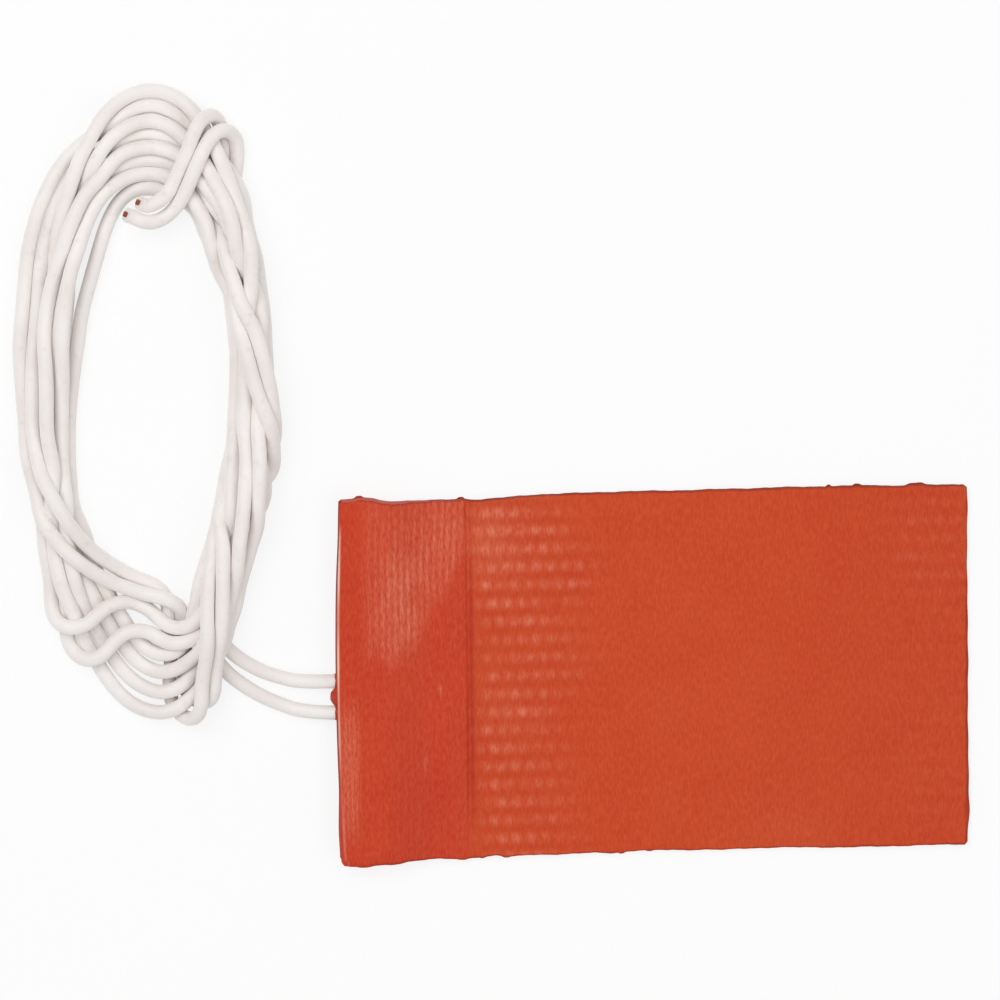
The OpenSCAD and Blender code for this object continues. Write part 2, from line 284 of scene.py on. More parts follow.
# %% Hank: the wrap and the curled ends
WRAP = ((PLAIN_END, 0.07, 2.3), (3.75, -0.02, 2.0), (3.775, -0.10, 1.0), (3.787, 0.12, 0),
        (3.80, 0.88, 0), (3.811, 1.07, 0.6), (3.825, 1.10, 2.0), (3.842, 0.92, 3.2),
        (3.86, 0.50, 3.2), (3.885, 0.24, 3.1), (3.905, 0.12, 2.2), (3.918, 0.06, 1.0),
        (3.928, 0.16, 0), (3.948, 0.80, 0), (3.958, 0.96, 0.7), (3.970, 1.0, 2.0),
        (3.985, 0.92, 3.0), (4.035, 0.46, 3.4), (4.068, 0.16, 3.0), (4.084, 0.02, 1.7),
        (4.10, 0.12, 0.3), (4.145, 0.82, 0), (4.160, 1.08, 0.9), (4.176, 1.24, 2.5))
AHEAD, START_TURN, WRAP_STEP = 0.010, 0.05, 0.0005
CURL = (
    [(-89.2, 122.2), (-91.8, 119.2), (-94.2, 113.6), (-96.7, 107.4), (-99.3, 102.4), (-102.0, 100.2)],
    [(-86.6, 119.8), (-89.6, 116.4), (-92.3, 110.6), (-95.0, 104.4), (-97.7, 98.8), (-101.3, 95.4),
     (-105.0, 95.6)],
)
CURL_HEIGHT = (7.5, 9.5, 10, 10, 9, 8, 7)
TIP = ((-105.3, 101.3, 6.5), (-107.9, 98.9, 6.5))
TIP_HEADING, TIP_TILT = math.radians(155), math.radians(20)
TIP_WAY = np.array([math.cos(TIP_HEADING) * math.cos(TIP_TILT),
                    math.sin(TIP_HEADING) * math.cos(TIP_TILT), math.sin(TIP_TILT)])


def wrap(lead):
    """The wrap, which starts where the lead's own plain turns end."""
    last = WRAP[-1][0]
    turn = np.arange(PLAIN_END, last, WRAP_STEP)
    start = ease((turn - PLAIN_END) / START_TURN)
    ahead = (-AHEAD, AHEAD)[lead] * start
    share, layer = between(WRAP, np.clip(turn + ahead, PLAIN_END, last)).T
    _, first_share, first_layer = PLAIN[lead][-1]
    share = first_share + (share - first_share) * start
    layer = first_layer + (layer - first_layer) * start
    return in_hank(turn, share, layer * LAYER)


def curled_end(lead):
    """The curl at the top, and a short straight stretch to the cut."""
    curl = [(x, y, z) for (x, y), z in zip(CURL[lead], CURL_HEIGHT)]
    straight = [np.array(TIP[lead]) - TIP_WAY * before for before in (4, 2, 0)]
    return np.vstack([curl, straight])


print("the wrap ends at turn", WRAP[-1][0])

# %% [markdown]
# The four stretches are joined into one line per lead, with a point every 2 mm, and its corners
# are rounded by moving each point towards the middle of its neighbours. The first points stay,
# because they lie in the moulding.


# %% Hank: one line for each lead
STEP = 2.0
IN_MOULDING = 9


def evenly(points, step):
    """The same line with its points at even steps."""
    s = np.r_[0, np.cumsum(np.linalg.norm(np.diff(points, axis=0), axis=1))]
    t = np.linspace(0, s[-1], int(round(s[-1] / step)) + 1)
    return np.c_[tuple(np.interp(t, s, points[:, k]) for k in range(3))]


def smoothed(points, rounds, keep, share=0.5):
    """The line with softer corners. The first points, as many as keep, stay."""
    points = points.copy()
    for _ in range(rounds):
        middle = (points[keep - 1:-3] + points[keep + 1:-1]) / 2
        points[keep:-2] += share * (middle - points[keep:-2])
    return points


lines = []
for lead in (0, 1):
    line = np.vstack([run_out(lead), plain_turns(lead), wrap(lead), curled_end(lead)])
    line = evenly(smoothed(evenly(line, STEP), rounds=8, keep=12), STEP)
    lines.append(line)
    print("lead", lead + 1, "is %.0f mm long as drawn" % (STEP * (len(line) - 1)))

# %% [markdown]
# The line as drawn still passes through itself in places, so the leads are let settle: each step
# pulls every point down, pushes points of different turns a diameter apart, keeps the spacing,
# and eases every bend that is too tight. It is a small cloth simulation for cords, with nothing
# random in it. Blender's own cloth has no thick threads, and would let them slip through.

# %% Hank: let the leads settle
CLEAR = 3.12
TIGHTEST = 6.0
SETTLE_STEPS = 420
FALL, LATE_FALL, LATE = 0.14, 0.05, 0.75
END_POINTS, HOLD_END, HOLD = 30, 0.10, 0.11
LOOK_AGAIN, LOOK_AROUND = 6, CLEAR + 2.5
SAME_STRETCH = 3.2 * CLEAR
STIFFNESS = ((1, 0.12), (3, 0.03))
PUSHES = 3
PUSH, UNBEND, RESPACE = 0.35, 0.25, 0.45


def shift_pairs(points, a, b, move):
    np.add.at(points, a, -move)
    np.add.at(points, b, move)


def apart(points, a, b):
    way = points[b] - points[a]
    return way, np.linalg.norm(way, axis=1)


def settle(lines):
    x = np.vstack(lines)
    counts = [len(line) for line in lines]
    who = np.repeat([0, 1], counts)
    from_start = np.concatenate([np.arange(n) for n in counts])
    from_end = np.concatenate([np.arange(n)[::-1] for n in counts])
    home = x.copy()
    fixed = (from_start < IN_MOULDING) | (from_end < 3)
    hold = np.where(np.minimum(from_start, from_end) < END_POINTS, HOLD_END, HOLD)[:, None]
    linked = {k: np.where(who[:-k] == who[k:])[0] for k in (1, 2, 3, 4, 6)}
    widest = {k: 2 * TIGHTEST * math.sin(k * STEP / 2 / TIGHTEST) for k in (2, 3, 4)}
    for step in range(SETTLE_STEPS):
        x[~fixed, 2] -= FALL if step < LATE * SETTLE_STEPS else LATE_FALL
        if step % LOOK_AGAIN == 0:
            flat = (x[:, None, 0] - x[None, :, 0]) ** 2 + (x[:, None, 1] - x[None, :, 1]) ** 2
            i, j = np.where(np.triu(flat < LOOK_AROUND ** 2, 1))
            other = (who[i] != who[j]) | (np.abs(from_start[i] - from_start[j]) * STEP > SAME_STRETCH)
            near = i[other], j[other]
        for reach, share in STIFFNESS:
            m = linked[2 * reach] + reach
            x[m] += share * ((x[m - reach] + x[m + reach]) / 2 - x[m])
        x[:, :2] += hold * (home[:, :2] - x[:, :2])
        for _ in range(PUSHES):
            a, b = near
            way, gap = apart(x, a, b)
            hit = gap < CLEAR
            push = PUSH * ((CLEAR - gap[hit]) / np.maximum(gap[hit], 1e-6))[:, None] * way[hit]
            shift_pairs(x, a[hit], b[hit], push)
            for k, least in widest.items():
                a = linked[k]
                way, gap = apart(x, a, a + k)
                shift_pairs(x, a, a + k, UNBEND * (np.maximum(least - gap, 0) / gap)[:, None] * way)
            for odd in (0, 1):
                a = linked[1][linked[1] % 2 == odd]
                way, gap = apart(x, a, a + 1)
                shift_pairs(x, a, a + 1, (-RESPACE * (gap - STEP) / gap)[:, None] * way)
            x[:, 2] = np.maximum(x[:, 2], RADIUS)
            x[fixed] = home[fixed]
    return np.split(x, [counts[0]])


lines = settle(lines)
for lead, line in enumerate(lines):
    print("lead", lead + 1, "settled, highest point %.1f mm" % (line[:, 2].max() + RADIUS))

# %% [markdown]
# A lead becomes a curve object with a round bevel. The line is drawn out with a smooth curve to
# a point every millimetre, so no facets show along it. A mesh tube would do as well, but a
# curve keeps its own centreline.


# %% Leads: curve objects
CURVE_PARTS, ROUND_PARTS = 2, 5


def drawn_out(points, parts):
    """Points on a smooth curve through the given ones, with some parts to each step."""
    p = np.vstack([2 * points[0] - points[1], points, 2 * points[-1] - points[-2]])
    out = []
    for f in np.arange(parts) / parts:
        out.append(on_curve(*(p[k:len(p) - 3 + k] for k in range(4)), f))
    return np.vstack([np.stack(out, axis=1).reshape(-1, 3), points[-1:]])


def lead_curve(name, line):
    data = bpy.data.curves.new(name, "CURVE")
    data.dimensions = "3D"
    data.bevel_depth = RADIUS * MM
    data.bevel_resolution = ROUND_PARTS
    data.use_fill_caps = True
    spline = data.splines.new("POLY")
    pts = drawn_out(smoothed(line, rounds=2, keep=IN_MOULDING, share=0.4), CURVE_PARTS) * MM
    spline.points.add(len(pts) - 1)
    spline.points.foreach_set("co", np.c_[pts, np.ones(len(pts))].ravel())
    spline.use_smooth = True
    obj = bpy.data.objects.new(name, data)
    bpy.context.collection.objects.link(obj)
    return obj


leads = [lead_curve("lead_%d_run" % (k + 1), line) for k, line in enumerate(lines)]
print("curves:", [obj.name for obj in leads])

# %% [markdown]
# The free ends are cut square, and the conductor shows in the cut as a bundle of fine copper
# strands, some of them a little longer than the rest. One strand is made with softened rims and
# copied round in rings, and the second end is a copy of the first. Each copy has its own mesh.

# %% Conductor ends
STRAND, STRAND_RIM = 0.24, 0.03
IN_JACKET, OUT_OF_JACKET = 2.0, 0.5
LONGER = 0.12
RINGS = ((1, 6), (2, 12))


def copy_of(obj):
    only(obj)
    bpy.ops.object.duplicate()
    return bpy.context.object


bpy.ops.object.select_all(action="DESELECT")
bpy.ops.mesh.primitive_cylinder_add(
    vertices=10, radius=STRAND / 2 * MM, depth=(IN_JACKET + OUT_OF_JACKET) * MM,
    location=(0, 0, (OUT_OF_JACKET - IN_JACKET) / 2 * MM))
strands = [bpy.context.object]
bpy.ops.object.mode_set(mode="EDIT")
bpy.ops.mesh.bevel(offset=STRAND_RIM * MM, segments=1, affect="EDGES")
bpy.ops.object.mode_set(mode="OBJECT")
settle_transform(strands[0])
for ring, count in RINGS:
    for k in range(count):
        angle = 2 * math.pi * (k / count + 0.11 * ring)
        longer = LONGER * ((k * 5 + ring * 3) % 4) / 3
        strand = copy_of(strands[0])
        co = points_of(strand)
        co[:, :2] += np.array([math.cos(angle), math.sin(angle)]) * ring * STRAND * MM
        co[:, 2] += longer * MM * (co[:, 2] > 0)
        set_points(strand, co)
        strands.append(strand)
print("strands in each end:", len(strands))

tips = [joined(strands)]
tips.append(copy_of(tips[0]))
for k, tip in enumerate(tips):
    tip.name = "conductor_%d_end" % (k + 1)
    tip.rotation_euler = (math.pi / 2 - TIP_TILT, 0, TIP_HEADING + math.pi / 2)
    tip.location = np.array(TIP[k]) * MM
    settle_transform(tip)
print("conductor ends:", [tip.name for tip in tips])

# %% [markdown]
# The rubber pieces are thin plates with a fine relief, so each one starts as a grid. A helper
# gives it the pad's own outline: the lead end bows out a little, the corners are round, and the
# long edges were trimmed by hand, which left them slightly wavy with small nibs of rubber.

# %% Pad: outline
PAD_L, PAD_W = 132.0, 76.0
LEAD_END, FREE_END = -PAD_L / 2, PAD_L / 2
CORNER, BOW = 0.6, 1.0
HALF = PAD_W / 2
BOW_RADIUS = ((HALF - CORNER) ** 2 + BOW ** 2) / (2 * BOW)
NIB, NIB_FLANK = 0.4, 0.32
NIBS = ((4.7, 1, 3), (26.4, 1, 2), (103.2, 1, 1.4), (109.2, 1, 2.2), (121.5, 1, 5),
        (26, -1, 2.6), (30.3, -1, 1.6), (35.1, -1, 2.4), (59.4, -1, 1.8), (65.3, -1, 2.2))
UPPER_TRIM = ((0, -0.1), (4, 0.05), (7.5, 0.1), (10.5, -0.75), (17, -0.7), (21, -0.75), (24, -0.7),
              (27, -0.6), (30, -0.85), (36, -0.5), (42, -0.05), (60, 0.15), (72, 0.1), (96, 0.25),
              (115, 0.2), (117.7, -0.1), (119.5, 0.1), (124, 0.05), (132, 0))
LOWER_TRIM = ((0, 0.75), (2, 1.0), (4.7, 1.35), (7.5, 1.0), (12, 0.9), (15, 0.45), (21, 0.35),
              (23.5, 0.5), (26, 0.75), (28, 0.5), (32, 0.2), (33.2, -0.05), (34.5, 0.35), (37, 0.5),
              (39, 0.25), (47, 0.25), (53.5, 0.15), (57, 0.35), (63, -0.1), (69, 0), (73, 0.1),
              (78, 0.15), (81, 0.35), (84, 0.15), (92, 0.1), (107, 0.5), (132, 0.5))
BLUR = (-0.8, -0.4, 0, 0.4, 0.8)
WAVER = ((0.06, 2.3, 2), (0.04, 0.9, 1), (0.02, 0.37, 0))
LEAD_BLEND, FREE_BLEND, RIM = 8, 2, 1.5


def corner_cut(y):
    """How much shorter a corner makes the pad at y."""
    into = np.clip(np.abs(y) - (HALF - CORNER), 0, CORNER)
    return CORNER - np.sqrt(CORNER ** 2 - into ** 2)


def lead_end_at(y):
    """Where the bowed lead end lies at y."""
    inner = np.minimum(np.abs(y), HALF - CORNER)
    return LEAD_END + BOW_RADIUS - np.sqrt(BOW_RADIUS ** 2 - inner ** 2) + corner_cut(y)


def trim_at(x, side, nib_share):
    """How far the trimmed edge stands out at x."""
    stations, outs = np.array(UPPER_TRIM if side > 0 else LOWER_TRIM).T
    along = x - LEAD_END
    broad = sum(np.interp(along + d, stations, outs) for d in BLUR) / len(BLUR)
    waver = sum(height * np.sin(x / wave + shift * side) for height, wave, shift in WAVER)
    out = broad + waver
    for start, nib_side, width in NIBS:
        if nib_side == side:
            out = out + nib_share * NIB * ease((0.5 - np.abs((along - start) / width)) / NIB_FLANK)
    return out


def to_outline(x, y, nib_share):
    """Bend a plain rectangle of points to the outline, with its ragged free end."""
    at_lead = ease((LEAD_END + LEAD_BLEND - x) / LEAD_BLEND)
    at_free = ease((x - FREE_END + FREE_BLEND) / FREE_BLEND)
    ragged = 0.10 * np.sin(y / 5.2) + 0.05 * np.sin(y / 1.3 + 1)
    ragged = ragged + 0.25 * np.exp(-((y + 31) / 3) ** 2)
    ragged = ragged + 0.2 * ease((38 - y) / 6) + 0.25 * ease((8 - y) / 10)
    swung = 0.15 * np.exp(-((y - 29) / 6) ** 2) - 0.55 * ease((-y - 22) / 12)
    new_x = x + (lead_end_at(y) - LEAD_END + swung) * at_lead - (corner_cut(y) - ragged) * at_free
    edge = np.clip((np.abs(y) - HALF + RIM) / RIM, 0, 1) ** 2
    trim = np.where(y > 0, trim_at(x, 1, nib_share), trim_at(x, -1, nib_share))
    return new_x, y + np.sign(y) * trim * edge


print("the lead end bows out to %.2f mm" % lead_end_at(0.0))

# %% [markdown]
# Each plate is then made in the same way, as by hand: a grid, extruded to a slab, its two faces
# brought to their heights, the sharp rim of the outer face broken by a small bevel, and a flat
# inner face made one. The relief is geometry, so a printed mesh has it too.


# %% Pad: one plate
def choose(kind, elements, chosen):
    """Go to edit mode with only the chosen points (VERT) or faces (FACE) selected."""
    bpy.ops.object.mode_set(mode="EDIT")
    bpy.ops.mesh.select_mode(type=kind)
    bpy.ops.mesh.select_all(action="DESELECT")
    bpy.ops.object.mode_set(mode="OBJECT")
    elements.foreach_set("select", chosen)
    bpy.ops.object.mode_set(mode="EDIT")


def of_faces(obj, name):
    """The centres or normals of all faces, one row each."""
    values = np.empty(len(obj.data.polygons) * 3)
    obj.data.polygons.foreach_get(name, values)
    return values.reshape(-1, 3)


def plate(name, x0, x1, columns, rows, outer, inner, nib_share, edge_break=0.12):
    """A plate from x0 to x1. outer and inner are the heights of its two faces."""
    bpy.ops.object.select_all(action="DESELECT")
    bpy.ops.mesh.primitive_grid_add(x_subdivisions=columns, y_subdivisions=rows, size=1)
    obj = bpy.context.object
    obj.name = name
    first_new = len(obj.data.vertices)
    bpy.ops.object.mode_set(mode="EDIT")
    bpy.ops.mesh.select_all(action="SELECT")
    bpy.ops.mesh.extrude_region_move(TRANSFORM_OT_translate={"value": (0, 0, 1)})
    bpy.ops.object.mode_set(mode="OBJECT")
    co = points_of(obj)
    on_outer = np.arange(len(co)) >= first_new
    rim = on_outer & (np.abs(co[:, :2]).max(axis=1) > 0.4999)
    flat_x, flat_y = x0 + (co[:, 0] + 0.5) * (x1 - x0), co[:, 1] * PAD_W
    x, y = to_outline(flat_x, flat_y, nib_share)
    inner_z = inner(flat_x) if callable(inner) else inner
    set_points(obj, np.c_[x, y, np.where(on_outer, outer(flat_x, flat_y), inner_z)] * MM)
    choose("VERT", obj.data.vertices, rim)
    bpy.ops.mesh.select_mode(type="EDGE")
    bpy.ops.mesh.bevel(offset=edge_break * MM, segments=2, affect="EDGES")
    bpy.ops.mesh.select_all(action="SELECT")
    bpy.ops.mesh.normals_make_consistent(inside=False)
    bpy.ops.object.mode_set(mode="OBJECT")
    if not callable(inner):
        at_inner = np.abs(of_faces(obj, "center")[:, 2] - inner * MM) < 1e-7
        level = np.abs(of_faces(obj, "normal")[:, 2]) > 0.99
        choose("FACE", obj.data.polygons, at_inner & level)
        bpy.ops.mesh.dissolve_faces()
        bpy.ops.object.mode_set(mode="OBJECT")
    return obj


def mark(obj, name, values):
    """Store a value from 0 to 1 at each point, for the material to read."""
    values = np.clip(values, 0, 1)
    obj.data.attributes.new(name, "FLOAT", "POINT").data.foreach_set("value", values)
    print(obj.name, "has", name, "up to %.2f" % values.max())


# %% [markdown]
# The cover sheet shows the cloth inside it. Glass cloth is a plain weave, in which upright and
# level threads pass over each other in turn, so the rubber pressed on it stands in staggered
# knuckles. A row of round waves for each level thread, shifted by half a wave from row to row,
# has just that pattern. The print is deep beside the moulded end, where the press closed last,
# and fades to an almost smooth field.

# %% Cover sheet: its relief
CAP_END, COVER_START = -38.5, -46.0
COVER_TOP = 2 * SHEET
THREAD_X, THREAD_Y = 1.51, 3.83
WEAVE_DEPTH = 0.09


def thread_rows(y):
    """1 along the middle of a level thread, 0 between two of them."""
    return np.cos(math.pi * y / THREAD_Y) ** 2


def weave(x, y):
    """Height of the knuckles, from 0 to 1."""
    shifted = np.where(np.round(y / THREAD_Y) % 2 == 0, 1, -1)
    return thread_rows(y) * (0.5 + 0.5 * shifted * np.cos(math.pi * x / THREAD_X)) ** 0.7


def print_depth(x, y):
    """Share of the full depth of the weave print."""
    wander = 3.5 * np.sin(y / 9.0) + 2 * np.sin(y / 3.7 + 1)
    near = 1 - ease((x - (CAP_END + 13 + wander)) / 15)
    far = 0.22 * ease((x - 46) / 10) * (0.5 + 0.5 * ease((y - 4) / 20))
    return 0.10 + 0.90 * near + far


def edge_line(x, y):
    """1 on the trimmed edges, broken here and there, for a line of painted shade."""
    trim = np.where(y > 0, trim_at(x, 1, 0), trim_at(x, -1, 0))
    side = ease((np.abs(y) - HALF - trim + 0.32) / 0.2)
    line = np.maximum(side, ease((x - FREE_END + 0.22) / 0.15))
    return line * (0.85 + 0.15 * np.sin(x / 3.1 + y / 2))


def cover_relief(x, y):
    swell = 0.10 * np.sin(x / 21 + 0.6) * np.cos(y / 17)
    return COVER_TOP + swell + WEAVE_DEPTH * print_depth(x, y) * (weave(x, y) - 0.25)


cover = plate("woven_cover", COVER_START, FREE_END, 340, 190, cover_relief, SHEET, nib_share=0.5)
print("cover sheet:", len(cover.data.polygons), "faces")

# %% [markdown]
# The cover's red isn't even. Painted highlight makes the tops of the knuckles pale, as glints of
# the lamps on the weave, and a few broad pale spots lie on it. Painted shade makes it a deeper red
# in the step beside the cap, as the step's shadow, and in the valleys between the rows. Each is
# stored as a value at the points of the mesh, which the finish reads. A painted picture could
# do the same, but values at points follow the relief. A spot is given as its strength, place,
# width and height.

# %% Cover sheet: painted highlight, painted shade and painted edge shade
HIGHLIGHT_SPOTS = ((0.30, -33, 29, 7, 8), (0.10, -30, -8, 6, 6), (0.07, 28, -34, 7, 6))
PRINT_AT = ((-36, 0.66), (-15, 0.80), (-10, 1.1), (-6, 1.0), (-2, 0.7), (7, 0.66), (15, 0.95),
            (22, 1.0), (34, 1.1))
# Place, width and strength of the painted shadow beside the cap's step.
STEP_AT, STEP_WIDTH, STEP_SHADOW = 0.7, 0.50, 0.66


def scatter(i, j):
    """A chance number from 0 to 1 for each knuckle."""
    return np.abs(np.sin(i * 12.9898 + j * 78.233) * 437.585) % 1.0


def spot(x, y, cx, cy, wide, tall):
    """A soft spot that is 1 at its middle."""
    return np.exp(-((x - cx) / wide) ** 2 - ((y - cy) / tall) ** 2)


def spots(x, y, rows, start=0.0):
    """Several spots added up, each with its strength."""
    return sum((strength * spot(x, y, *place) for strength, *place in rows), start)


co = points_of(cover) / MM
x, y = co[:, 0], co[:, 1]
deep = (print_depth(x, y) - 0.08) * np.interp(y, *np.array(PRINT_AT).T)
deep = deep * (0.30 + 0.70 * ease((x - CAP_END - 1.2) / 4))
row = np.round(y / THREAD_Y)
chance = 0.25 + 0.75 * scatter(np.round(x / THREAD_X / 2 + row / 2), row)
cloudy = 0.7 + 0.3 * np.sin(x / 3.7 + row) * np.sin(y / 9)
streak = 0.16 + 0.09 * np.sin(x / 4.3 + 2.4 * row)
knuckles = 1.25 * chance * weave(x, y) ** 1.3 + streak * thread_rows(y) ** 1.5
on_top = co[:, 2] > 1.2
# Painted highlight: glints on the knuckles of the weave, and broad pale spots.
mark(cover, "painted_highlight", (deep * cloudy * knuckles + spots(x, y, HIGHLIGHT_SPOTS)) * on_top)
# Painted shadow beside the cap's step.
step_shade = np.exp(-((x - CAP_END - STEP_AT) / STEP_WIDTH) ** 2)
step_shade = step_shade * ease((y + 36) / 14) * (1 - 0.5 * ease((y - 20) / 10))
far_tint = 0.08 * ease((x - 15) / 40)
# Painted shade in the valleys between the rows; next to the cap's lower half the red is deeper too.
valley_shade = 0.19 * deep * (1 - thread_rows(y) ** 0.5)
valley_shade = valley_shade + 0.09 * ease((CAP_END + 5 - x) / 4) * ease((14 - y) / 8)
# Painted shade: a dark line along the trimmed edges, whose walls lie in shade.
mark(cover, "edge_shade", 0.9 * edge_line(x, y))
mark(cover, "shade_and_tint", STEP_SHADOW * step_shade + far_tint + valley_shade)

# %% [markdown]
# The back sheet carries everything. Its underside is seen when the heater is turned over, and
# there the same cloth shows evenly. It is the layer from which the trimming nibs stand out.

# %% Back sheet
def back_print(x, y):
    """The underside, whose knuckles touch the table."""
    return 0.06 * (1 - weave(x, y))


back = plate("woven_back", LEAD_END, FREE_END, 300, 150, back_print, SHEET,
             nib_share=1.0, edge_break=0.08)
# Painted shade along the trimmed edges.
mark(back, "edge_shade", 0.8 * edge_line(*points_of(back)[:, :2].T / MM))
print("back sheet:", len(back.data.polygons), "faces")

# %% [markdown]
# Between the sheets at the lead end lies the rubber that was moulded round the terminals. Only
# its edges show, as the middle layer of the thick end, from which the leads come out. Behind the
# terminals it slopes down to the cover sheet.

# %% Moulded core of the lead end
SLOPE_START, SLOPE_RUN = -56.0, 10.0
CORE_TOP = SHEET + LEAD


def core_top(x):
    return CORE_TOP - (CORE_TOP - COVER_TOP) * ease((x - SLOPE_START) / SLOPE_RUN)


core = plate("moulded_core", LEAD_END, COVER_START, 48, 60, lambda x, y: core_top(x), SHEET,
             nib_share=0.35, edge_break=0.05)
print("moulded core:", len(core.data.polygons), "faces")

# %% [markdown]
# The cap over the lead end was pressed against a ribbed tool, which left fine upright ribs. It
# comes down over the terminals in a soft slope and ends in a rounded step on the cover sheet.
# Low swellings show where the terminals lie. The ribs and swellings are added to the height of
# the CAD layer, point by point.

# %% Cap: its relief
RIB, RIB_DEPTH = 1.37, 0.05
NOSE, LIP = 0.6, 4
PLAIN_STRIP = 4.5
SWELLINGS = ((-46.6, 0.2, 1.0, 0.16), (-46.4, -3.6, 0.9, -0.10), (-49.4, -14.5, 1.6, 0.12),
             (-47.8, -17.5, 1.2, 0.10))
# The line below which the cap has no painted highlight.
HIGHLIGHT_EDGE = ((-66, 0), (-57, 1), (-50, 3), (-47, 9.5), (-43.5, 15.5), (-38, 25))


def rib_wave(x, y):
    """The ribs' wave from 0 to 1. They waver a little along their length."""
    wander = 0.25 * np.sin(y / 11) + 0.1 * np.sin(y / 3.1)
    return 0.5 + 0.5 * np.cos(2 * math.pi * (x + wander) / RIB)


def highlight_zone(x, y):
    """1 above the slanting line where the cap's painted highlight gives way to plain red, 0 below it."""
    limit = np.interp(x, *np.array(HIGHLIGHT_EDGE).T)
    wander = 0.9 * np.sin(x / 0.9) + 0.8 * np.sin(y / 2.9 + x / 1.7)
    return ease((y - limit + 1 + wander) / 7) * ease((x - LEAD_END - PLAIN_STRIP) / 2.5)


def cap_height(x, y):
    """The cap thins towards its lip and ends in a short rounded nose."""
    nose = np.clip((x - (CAP_END - NOSE)) / NOSE, 0, 1)
    lip = ease((x - CAP_END + LIP) / LIP) * (0.45 + 0.25 * ease((-y - 22) / 12))
    thick = SHEET * (1 - lip) * (1 - 0.94 * ease(nose))
    ribbed = ease((x - LEAD_END - PLAIN_STRIP) / 2) * (0.30 + 0.70 * highlight_zone(x, y))
    ribs = 2 * RIB_DEPTH * (rib_wave(x, y) - 0.5) * ribbed * (1 - nose)
    swell = 0.08 * np.sin(y / 8.0 + x / 13) * ease((x - LEAD_END) / 5) * (1 - nose)
    for cx, cy, size, height in SWELLINGS:
        swell = swell + height * np.exp(-((x - cx) ** 2 + (y - cy) ** 2) / size ** 2)
    return core_top(x) + thick + ribs + swell


def cap_under(x):
    return np.where(x > COVER_START, COVER_TOP - 0.02, core_top(x))


cap = plate("moulded_cap", LEAD_END, CAP_END, 190, 190, cap_height, cap_under, nib_share=0.4)
print("cap:", len(cap.data.polygons), "faces")

# %% [markdown]
# The cap's marks are made in the same way. Its ribs carry a painted highlight above a slanting
# line, most of all in two soft spots. The lower half of the lead end has a narrow pale strip, the
# clear part has two small painted highlights on the bumps over the terminals, and painted shade
# makes the red deeper at the lip, as its shadow, and over the lower part of the cap. Painted shade
# also lines the trimmed edges. The rim of the lead end was cut, and shows the pale cloth.

# %% Cap: painted highlight, painted shade, painted edge shade and cut
# Spots of painted highlight on the ribs, and on the bumps over the terminals.
BRIGHT = ((0.9, -52.5, 16, 5, 12), (0.6, -43, 28, 5, 9), (-0.5, -49.5, 17, 2.2, 2))
BUMP_HIGHLIGHTS = ((0.45, -44.4, -2.3, 0.4, 1.6), (0.45, -47.6, -17.9, 0.5, 1.8))
LIP_LINE, RIM_AT, RIM_WIDTH = 0.20, 0.30, 0.20

co = points_of(cap) / MM
x, y = co[:, 0], co[:, 1]
broken = 0.5 + 0.5 * np.sin(y / 1.9 + 5 * scatter(np.round(x / RIB), 3)) * np.sin(y / 4.1 + x)
# Painted highlight on the ribs, a pale strip at the lead end, and highlights on the terminal bumps.
painted_highlight = highlight_zone(x, y) * spots(x, y, BRIGHT, 0.30)
painted_highlight = painted_highlight * (0.30 + 0.70 * rib_wave(x, y) * (0.4 + 0.6 * broken))
low_strip = ease((x - LEAD_END - 0.5) / 0.8) * ease((LEAD_END + 5.6 - x) / 2.4) * ease((1 - y) / 14)
low_strip = 0.62 * low_strip * (0.7 + 0.3 * np.cos(2 * math.pi * x / 0.9) * np.sin(y / 6))
low_strip = low_strip * ease((y + 39) / 14)
low_ribs = 0.08 * rib_wave(x, y) * broken * ease((x - LEAD_END - PLAIN_STRIP) / 2)
painted_highlight = np.maximum(np.maximum(painted_highlight, low_strip), np.maximum(low_ribs, spots(x, y, BUMP_HIGHLIGHTS)))
on_top = co[:, 2] > 1.5
mark(cap, "painted_highlight", painted_highlight * on_top)
# Painted shade: the lip's shadow at the end of the cap, and a deeper red over the cap's lower part, where the
# light falls less.
step_shade = ease((x - CAP_END + LIP_LINE) / LIP_LINE) * ease((y + 34) / 14)
step_shade = step_shade * (0.6 + 0.4 * np.exp(-((y + 2) / 14) ** 2))
lower_shade = 0.10 * ease((-y - 8) / 14) * ease((x + 61) / 8) * ease((-41 - x) / 6)
# Painted shade along the trimmed edges.
mark(cap, "edge_shade", 0.8 * edge_line(x, y))
mark(cap, "shade_and_tint", 0.4 * step_shade + lower_shade)
rim = np.exp(-((x - lead_end_at(y) - RIM_AT) / RIM_WIDTH) ** 2) * (co[:, 2] > 3.9)
rim = rim * ease((34 - y) / 4) * (0.2 + 0.8 * ease((y + 22) / 20))
mark(cap, "cut", rim * (0.75 + 0.25 * np.sin(y / 2.9)))

# %% [markdown]
# A bead of red sealant was pressed between the two leads where they come out, and it climbs a
# little way round each of them. It is one soft lump, so it is built from balls and two short
# sleeves, melted into each other by a voxel remesh and smoothed.

# %% Sealant bead
LEAD_AXIS = SHEET + RADIUS
BEAD_Y = (EXIT_Y[0] + EXIT_Y[1]) / 2
BEAD_BALLS = (
    ((LEAD_END + 0.9, BEAD_Y, LEAD_AXIS), 2.2),
    ((LEAD_END + 0.6, BEAD_Y + 1.5, LEAD_AXIS + 0.3), 1.2),
    ((LEAD_END + 0.6, BEAD_Y - 1.4, LEAD_AXIS - 0.2), 1.2),
)
SLEEVE, SLEEVE_WIDE, SLEEVE_NARROW = 1.4, RADIUS + 0.35, RADIUS + 0.10

